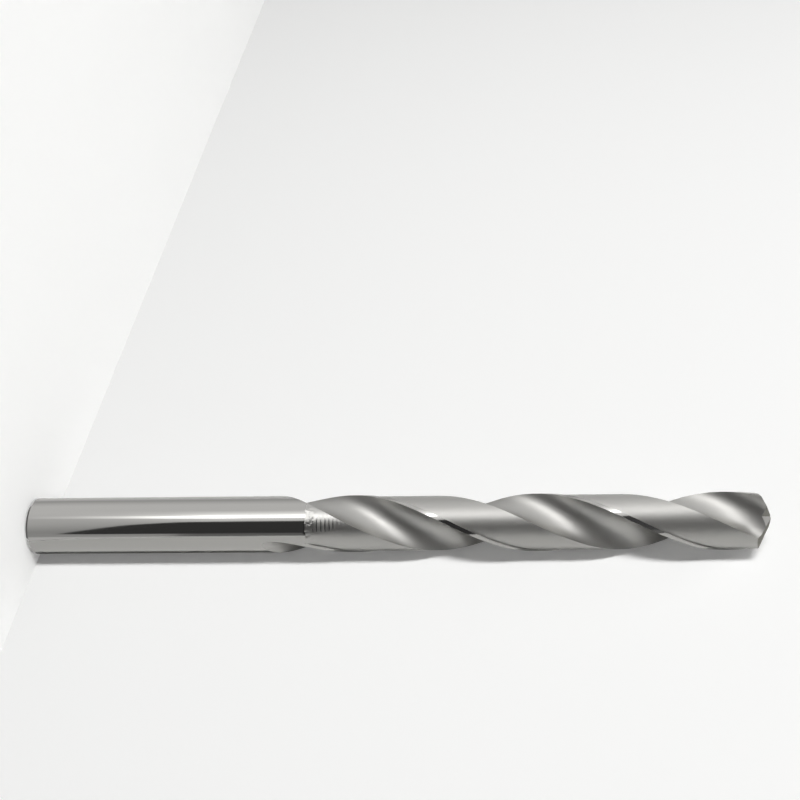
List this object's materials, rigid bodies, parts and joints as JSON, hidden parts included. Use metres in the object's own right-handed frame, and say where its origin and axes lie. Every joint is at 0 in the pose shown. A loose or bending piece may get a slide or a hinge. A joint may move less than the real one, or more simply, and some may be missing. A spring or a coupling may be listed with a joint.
{
  "type": "jobber drill bit",
  "caption": "Straight-shank jobber drill bit ground from solid carbide, with right-hand spiral flutes, guiding margins and a split point.",
  "frame": {"origin": "centre of the flat shank end, on the drill's axis", "axes": "+Z along the axis from the shank end to the point; the two cutting lips lie along X"},
  "size_m": [0.0064, 0.0064, 0.0826],
  "materials": {
    "ground_carbide": "bare cemented carbide: shank and margins ground and polished to a mirror, flutes and lands satin ground"
  },
  "bodies": {
    "root": {"drill_bit": "ground_carbide"}
  },
  "joints": []
}
